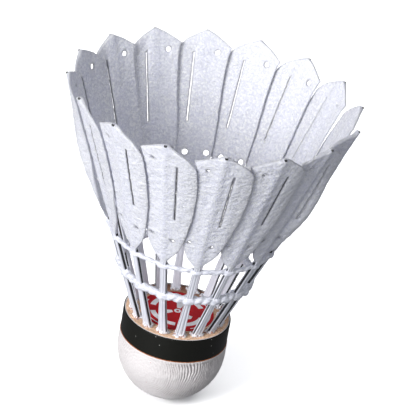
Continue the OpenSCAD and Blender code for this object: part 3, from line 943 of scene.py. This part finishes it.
# ---------------------------------------------------------------- root glue
def build_root_glue():
    parts = []
    for i in range(1, N_VANES + 1):
        a = math.radians((i - 1) * PITCH)
        rad, tan, up = np.array([math.cos(a), math.sin(a), 0]), np.array([-math.sin(a), math.cos(a), 0]), np.array([0, 0, 1.0])
        base = rad * ROOT_R + up * CORK_H
        parts.append(blob(base + up * 0.02, (rad, tan, up), (1.15, 1.45, 0.42)))
        for k in range(9):
            ang = 2 * math.pi * (k + 0.6 * rnd(i, k, 1)) / 9
            rr = 0.75 + 0.5 * rnd(i, k, 2)
            c = base + rad * (rr * 0.95 * math.cos(ang)) + tan * (1.25 * rr * math.sin(ang)) + up * (0.05 + 0.45 * rnd(i, k, 3))
            s = 0.24 + 0.30 * rnd(i, k, 4)
            parts.append(blob(c, (rad, tan, up), (s, s * (0.8 + 0.6 * rnd(i, k, 5)), s * (0.8 + 0.5 * rnd(i, k, 6)))))
        for k in range(4):
            c = base + rad * (1.5 * (rnd(i, k, 11) - 0.4)) + tan * (2.0 * (rnd(i, k, 12) - 0.5) * 1.9) + up * 0.05
            s = 0.16 + 0.14 * rnd(i, k, 14)
            parts.append(blob(c, (rad, tan, up), (s, s, s * 0.8)))
    co, faces = fused("root_glue_beads", parts, 0.13, 1, 0.5)
    co[:, 2] = np.where(co[:, 2] < CORK_H - 0.12, CORK_H - 0.12, co[:, 2])
    n = fbm(co * 2.1, 3, 77)
    up = np.clip((co[:, 2] - CORK_H) / 0.3, 0, 1)
    rc = np.hypot(co[:, 0], co[:, 1])
    co[:, 2] += 0.06 * n * up
    co[:, 0] *= 1 + 0.06 * noise3(co * 1.7, 78) * up / np.maximum(rc, 1)
    co[:, 1] *= 1 + 0.06 * noise3(co * 1.7, 79) * up / np.maximum(rc, 1)
    return new_object("root_glue_beads", co, faces, GLUE, ["root_glue"])


# ---------------------------------------------------------------- turned parts
def lathe(profile, segs, close=False):
    """Turns (r, z) points round the axis. A point with r 0 becomes one vertex. Returns vertices and faces, facing out when the profile runs up the outside."""
    verts, rows = [], []
    ang = np.arange(segs) / segs * 2 * math.pi
    for r, z in profile:
        if r < 1e-9:
            rows.append([len(verts)])
            verts.append((0.0, 0.0, z))
        else:
            rows.append(list(range(len(verts), len(verts) + segs)))
            verts += [(r * math.cos(a), r * math.sin(a), z) for a in ang]
    faces = []
    pairs = list(zip(rows, rows[1:])) + ([(rows[-1], rows[0])] if close else [])
    for a, b in pairs:
        if len(a) == 1 and len(b) == 1:
            continue
        for k in range(segs):
            k2 = (k + 1) % segs
            if len(a) == 1:
                faces.append((a[0], b[k2], b[k]))
            elif len(b) == 1:
                faces.append((a[k], a[k2], b[0]))
            else:
                faces.append((a[k], a[k2], b[k2], b[k]))
    return np.array(verts), faces


def build_cover():
    outer = []
    n = 138
    for k in range(n + 1):
        t = math.pi / 2 * k / n
        outer.append((R_CORK * math.sin(t), R_CORK - R_CORK * math.cos(t)))
    z = R_CORK
    while z < Z_BAND - 0.42:
        z += 0.15
        outer.append((R_CORK, z))
    outer += [(R_CORK - 0.015, Z_BAND - 0.22), (R_CORK - 0.07, Z_BAND - 0.08), (R_CORK - 0.16, Z_BAND + 0.0), (R_PRESSED - 0.01, Z_BAND + 0.10)]
    outer += [(R_PRESSED - 0.01, zz) for zz in np.linspace(Z_BAND + 1, CORK_H - 0.15, 6)]
    outer += [(R_PRESSED - 0.01, CORK_H - 0.04), (R_PRESSED - 0.05, CORK_H + 0.02), (R_CORE + 0.08, CORK_H + 0.02), (R_CORE + 0.02, CORK_H - 0.04)]
    inner = [(R_CORE + 0.02, zz) for zz in np.linspace(CORK_H - 1, R_CORK, 4)]
    for k in range(9, -1, -1):
        t = math.pi / 2 * k / 10
        inner.append((R_CORE * math.sin(t), R_CORK - R_CORE * math.cos(t)))
    segs = 500
    v, f = lathe(outer + inner, segs)
    count = 1 + len(outer[1:]) * segs
    co = v[:count]
    # fine creases of the stretched skin, in arcs round one point on its side
    c0 = np.array([math.cos(math.radians(232)), math.sin(math.radians(232)), -0.10])
    c0 /= np.linalg.norm(c0)
    d = co - np.array([0, 0, R_CORK])
    d[:, 2] = np.minimum(d[:, 2], 3.0)
    un = d / (np.linalg.norm(d, axis=1)[:, None] + 1e-9)
    wob = noise3(co * 0.13, 401) * 1.1 + noise3(co * 0.5, 402) * 0.22 + noise3(co * 1.3, 406) * 0.07
    arc = np.arccos(np.clip(un @ c0, -1, 1)) * R_CORK
    phase = (arc + wob) / 0.64
    saw = phase - np.floor(phase)
    ridge = np.where(saw < 0.62, saw / 0.62, (1 - saw) / 0.38)
    broken = np.clip(0.82 + 0.75 * noise3(co * np.array([0.55, 0.55, 0.55]), 403), 0.15, 1)
    grow = np.clip((arc - 3.0) / 5.5, 0.08, 1)
    beads = noise3(co * 1.9, 404)
    rz = np.clip((Z_BAND - 0.25 - co[:, 2]) / 0.8, 0, 1)
    pole = np.clip(np.hypot(co[:, 0], co[:, 1]) / 1.6, 0, 1)
    bold = 0.34 + 0.36 * np.clip((arc - 8) / 9, 0, 1)
    beaded = noise3(co * 1.25, 407)
    h = (0.05 * beaded + (ridge - 0.86) * bold * broken * grow + beads * 0.03 + 0.04 * noise3(co * 0.16, 405)) * rz * pole
    low = np.array([0, 0, R_CORK])
    nrm = co - low
    nrm[:, 2] = np.minimum(nrm[:, 2], 0)
    nrm /= np.linalg.norm(nrm, axis=1)[:, None] + 1e-9
    v[:count] = co + nrm * np.minimum(h, 0.05)[:, None]
    # painted shade: how far the colour darkens in each crease's groove
    groove_shade = np.clip((0.62 - ridge) / 0.62, 0, 1) * broken * grow * rz * (0.80 + 0.20 * np.clip((arc - 8) / 9, 0, 1))
    loc = np.zeros((len(v), 3))
    loc[:count, 0] = groove_shade
    v[:, 2] = np.maximum(v[:, 2], 0.0)
    return new_object("skin", v, f, SKIN, ["cork_cover"], attrs={"loc": loc})


def build_band():
    r0, r1, z0, z1 = R_PRESSED + 0.01, R_BAND, Z_BAND + 0.02, CORK_H
    prof = [(r0, z0), (r1 - 0.06, z0), (r1 - 0.01, z0 + 0.05)]
    prof += [(r1, z) for z in np.linspace(z0 + 0.2, z1 - 0.2, 22)]
    prof += [(r1 - 0.015, z1 - 0.06), (r1 - 0.07, z1 - 0.005), (r0, z1)]
    prof += [(r0, z) for z in np.linspace(z1 - 1, z0 + 1, 3)]
    segs = 300
    v, f = lathe(prof, segs, close=True)
    r = np.hypot(v[:, 0], v[:, 1])
    face = r > r1 - 0.03
    th = np.arctan2(v[:, 1], v[:, 0])
    h = 0.018 * noise3(np.stack([np.cos(th) * 4, np.sin(th) * 4, v[:, 2] * 0.35], 1), 501) + 0.010 * noise3(v * 0.8, 502)
    # the tape's free end laps over its start, at the back
    lap = 0.05 / (1 + np.exp(-(np.degrees(th) - 62) * 6)) * (np.degrees(th) < 150) * np.clip((150 - np.degrees(th)) / 70, 0, 1)
    h = h + lap
    k = np.where(face, (r + h) / r, 1)
    v[:, 0] *= k
    v[:, 1] *= k
    edge = 0.035 * noise3(np.stack([np.cos(th) * 6, np.sin(th) * 6, 0 * th], 1), 503)
    v[:, 2] += np.where(v[:, 2] < z0 + 0.3, edge, 0)
    new_object("band", v, f, BAND, ["tape_band"])
    # the line of brown adhesive below the band's edge
    segs = 300
    prof = [(R_CORK - 0.22, Z_BAND - 0.10), (R_CORK - 0.03, Z_BAND - 0.10), (R_CORK - 0.005, Z_BAND - 0.05), (R_CORK - 0.03, Z_BAND + 0.06), (R_BAND - 0.08, Z_BAND + 0.10), (R_CORK - 0.30, Z_BAND + 0.10)]
    v, f = lathe(prof, segs, close=True)
    th = np.arctan2(v[:, 1], v[:, 0])
    w = noise3(np.stack([np.cos(th) * 9, np.sin(th) * 9, 0 * th + 2], 1), 511)
    v[:, 2] += np.where(v[:, 2] < Z_BAND, 0.04 * w, 0)
    new_object("band_edge_line", v, f, LINE)


def build_cork_disc():
    segs = 260
    z1 = CORK_H
    prof = [(0.0, Z_BAND + 0.05), (R_CORE - 0.02, Z_BAND + 0.05)]
    prof += [(R_CORE - 0.02, z) for z in np.linspace(Z_BAND + 1, z1 - 0.2, 8)]
    prof += [(R_CORE - 0.03, z1 - 0.10), (R_CORE - 0.10, z1 - 0.02)]
    prof += [(r, z1) for r in np.arange(R_CORE - 0.25, 7.9, -0.24)]
    prof += [(6.0, z1), (3.0, z1), (0.0, z1)]
    v, f = lathe(prof, segs)
    top = (v[:, 2] > z1 - 0.05) & (np.hypot(v[:, 0], v[:, 1]) > 8.4)
    g = fbm(v * 1.7, 3, 601)
    pit = crease(v * np.array([1.3, 1.3, 1.3]), 602)
    v[:, 2] += np.where(top, 0.030 * g - 0.05 * pit + 0.01, 0)
    v[:, 2] = np.minimum(v[:, 2], z1 + 0.05)
    new_object("composite_disc", v, f, CORK_TOP, ["cork_disc"])


def arc_plate(name, r0, r1, a0, a1, z0, z1, mat, n=60, shape=None):
    """A thin flat plate between two radii and two angles, with soft edges."""
    ang = np.radians(np.linspace(a0, a1, n))
    verts, faces = [], []
    for z, inset in ((z0, 0.0), (z1 - 0.01, 0.0), (z1, 0.02)):
        for a in ang:
            for r in (r0 + inset, r1 - inset):
                verts.append((r * math.cos(a), r * math.sin(a), z))
    k = 2 * n
    full = abs(a1 - a0) > 359.9
    for layer in (0, 1):
        for j in range(n - 1):
            a, b, c, d = layer * k + 2 * j, layer * k + 2 * j + 1, layer * k + 2 * j + 2, layer * k + 2 * j + 3
            A, B, C, D = a + k, b + k, c + k, d + k
            faces.append((b, d, D, B))
            faces.append((c, a, A, C))
        if not full:
            a, b = layer * k, layer * k + 1
            faces.append((a, b, b + k, a + k))
            a, b = layer * k + 2 * (n - 1), layer * k + 2 * (n - 1) + 1
            faces.append((b, a, a + k, b + k))
    for j in range(n - 1):
        a, b, c, d = 2 * j, 2 * j + 1, 2 * j + 2, 2 * j + 3
        faces.append((a, c, d, b))
        a, b, c, d = (x + 2 * k for x in (a, b, c, d))
        faces.append((a, b, d, c))
    return new_object(name, verts, faces, mat, smooth=False)


def bar_plate(name, pts, z0, z1, mat):
    """A thin flat plate with the given outline, anticlockwise."""
    n = len(pts)
    pts = np.asarray(pts, float)
    c = pts.mean(0)
    rim = c + (pts - c) * (1 - 0.02 / np.maximum(0.2, np.linalg.norm(pts - c, axis=1)))[:, None]
    verts = [(*p, z0) for p in pts] + [(*p, z1 - 0.01) for p in pts] + [(*p, z1) for p in rim]
    faces = [tuple(reversed(range(n))), tuple(range(2 * n, 3 * n))]
    for layer in (0, 1):
        for j in range(n):
            k = (j + 1) % n
            faces.append((layer * n + j, layer * n + k, (layer + 1) * n + k, (layer + 1) * n + j))
    return new_object(name, verts, faces, mat, smooth=False)


def build_label():
    z0, z1 = CORK_H + 0.03, CORK_H + LABEL_T
    prof = [(0.0, z0), (LABEL_R - 0.02, z0), (LABEL_R, z0 + 0.04), (LABEL_R - 0.03, z1)] + [(r, z1) for r in np.arange(LABEL_R - 0.3, 0.4, -0.5)] + [(0.0, z1)]
    v, f = lathe(prof, 180)
    v[:, 2] += np.where(v[:, 2] > z1 - 0.01, 0.012 * noise3(v * 0.5, 701), 0)
    new_object("printed_disc", v, f, RED, ["top_label"])
    zt0, zt1 = z1 - 0.03, z1 + 0.022
    # a generic pattern: a broken ring, a small wheel and plain bars
    arc_plate("print_arc_1", 5.45, 6.75, 188, 262, zt0, zt1, WHITE)
    arc_plate("print_arc_2", 5.45, 6.75, 278, 338, zt0, zt1, WHITE)
    arc_plate("print_arc_3", 5.45, 6.75, 20, 68, zt0, zt1, WHITE)
    arc_plate("print_arc_4", 5.45, 6.75, 100, 164, zt0, zt1, WHITE)
    arc_plate("print_rim_1", 7.75, 8.0, 150, 250, zt0, zt1, WHITE, n=90)
    arc_plate("print_rim_2", 7.75, 8.0, 290, 390, zt0, zt1, WHITE, n=90)
    for k in range(3):
        a = math.radians(120 * k + 75)
        d, n = np.array([math.cos(a), math.sin(a)]), np.array([-math.sin(a), math.cos(a)])
        pts = [d * 1.3 - n * 0.45, d * 3.9 - n * 1.05, d * 4.35, d * 3.9 + n * 1.05, d * 1.3 + n * 0.45]
        bar_plate(f"print_petal_{k + 1}", [p.tolist() for p in pts], zt0, zt1, WHITE)
    arc_plate("print_hub", 0.35, 0.85, 0, 360, zt0, zt1, WHITE, n=49)


# ---------------------------------------------------------------- build
for i in range(1, N_VANES + 1):
    build_vane(i)
    build_stem(i)

build_binding("lower_thread", "lower_binding", LOWER_AT, 0.74, 0.30, 0.84, -0.74, 0.55, 0.13, 0.95, 811,
              [(318, 0.55, -0.15, 0.85, 1.9, 1.05), (327, 0.75, -0.35, 0.85, 1.2, 1.0), (303, 0.45, -0.30, 0.70, 1.6, 0.95), (338, 0.5, 0.1, 0.7, 1.5, 0.95),
               (296, 0.35, 0.2, 0.5, 0.9, 0.6), (100, 0.2, 0.1, 0.7, 1.0, 0.8), (190, 0.3, -0.1, 0.6, 0.9, 0.8)])
build_binding("upper_thread", "upper_binding", UPPER_AT, 0.47, 0.17, 0.76, -0.62, 0.55, 0.11, 0.66, 812,
              [(311, 0.3, 0.1, 0.45, 0.8, 0.55), (285, 0.2, -0.1, 0.4, 0.8, 0.5), (146, 0.2, 0.0, 0.45, 0.7, 0.5)])
build_root_glue()
build_cover()
build_band()
build_cork_disc()
build_label()

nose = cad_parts["cork_nose"]
nose.data.materials.clear()
nose.data.materials.append(CORK_IN)

# ---------------------------------------------------------------- floor, light, camera
scene = bpy.context.scene
scene.view_settings.view_transform = "Standard"
scene.view_settings.look = "None"


def plane(name, size, z, mat):
    me = bpy.data.meshes.new(name)
    h = size / 2
    me.from_pydata([(-h, -h, z), (h, -h, z), (h, h, z), (-h, h, z)], [], [(0, 1, 2, 3)])
    ob = bpy.data.objects.new(name, me)
    scene.collection.objects.link(ob)
    me.materials.append(mat)
    return ob


fm = Mat("pale_floor")
fm.set(color=(0.93, 0.93, 0.94), rough=0.9, spec=0.1)
floor = plane("floor", 2.6, -0.0002, fm.m)
floor.visible_diffuse = False
floor.visible_glossy = False

world = bpy.data.worlds.new("studio")
scene.world = world
world.use_nodes = True
wt = world.node_tree
wt.nodes.clear()
wo = wt.nodes.new("ShaderNodeOutputWorld")
wb = wt.nodes.new("ShaderNodeBackground")
wb.inputs[0].default_value = (0.93, 0.95, 1.0, 1)
wb.inputs[1].default_value = 0.26
wc = wt.nodes.new("ShaderNodeBackground")
wc.inputs[0].default_value = (0.93, 0.935, 0.95, 1)
wc.inputs[1].default_value = 1.0
wm = wt.nodes.new("ShaderNodeMixShader")
lp = wt.nodes.new("ShaderNodeLightPath")
wt.links.new(lp.outputs["Is Camera Ray"], wm.inputs[0])
wt.links.new(wb.outputs[0], wm.inputs[1])
wt.links.new(wc.outputs[0], wm.inputs[2])
wt.links.new(wm.outputs[0], wo.inputs[0])

CENTRE = Vector((0, 0, 0.042))


def area(name, azimuth, elevation, distance, size, watts, colour=(1, 1, 1)):
    a, e = math.radians(azimuth), math.radians(elevation)
    d = Vector((math.cos(a) * math.cos(e), math.sin(a) * math.cos(e), math.sin(e)))
    li = bpy.data.lights.new(name, "AREA")
    li.shape = "SQUARE"
    li.size = size
    li.energy = watts
    li.color = colour
    ob = bpy.data.objects.new(name, li)
    scene.collection.objects.link(ob)
    ob.location = CENTRE + d * distance
    ob.rotation_mode = "QUATERNION"
    ob.rotation_quaternion = (-d).to_track_quat("-Z", "Y")
    return ob


key = area("key", 221, 27, 0.9, 0.36, 8.0, (1.0, 0.99, 0.985))
front = area("low_fill", 231, 2, 0.9, 0.5, 5.0, (0.98, 0.985, 1.0))
high = area("high_fill", 316, 56, 0.9, 0.4, 1.25, (0.98, 0.985, 1.0))

# a light that only the floor receives keeps it pale
over = area("floor_light", 90, 89, 1.6, 2.4, 37.5)
only_floor = bpy.data.collections.new("floor_only")
only_floor.objects.link(floor)
over.light_linking.receiver_collection = only_floor

AZ, EL, ROLL, DIST, F_PX = math.radians(-8.19), math.radians(28.06), math.radians(10.27), 437.6, 1896.9
fwd = Vector((-math.sin(AZ) * math.cos(EL), math.cos(AZ) * math.cos(EL), -math.sin(EL)))
right = Vector((math.cos(AZ), math.sin(AZ), 0))
up = right.cross(fwd)
r2 = right * math.cos(ROLL) + up * math.sin(ROLL)
u2 = up * math.cos(ROLL) - right * math.sin(ROLL)
target = Vector((0, 0, 54.4))
spot = (target - fwd * DIST + r2 * 2.259 + u2 * -2.998) * MM
cam_data = bpy.data.cameras.new("camera")
cam_data.sensor_width = 36.0
cam_data.lens = F_PX * 36.0 / 416.0
cam_data.clip_start, cam_data.clip_end = 0.01, 20.0
cam = bpy.data.objects.new("camera", cam_data)
scene.collection.objects.link(cam)
cam.matrix_world = Matrix(((r2.x, u2.x, -fwd.x, spot.x), (r2.y, u2.y, -fwd.y, spot.y), (r2.z, u2.z, -fwd.z, spot.z), (0, 0, 0, 1)))
scene.camera = cam

bpy.context.view_layer.update()
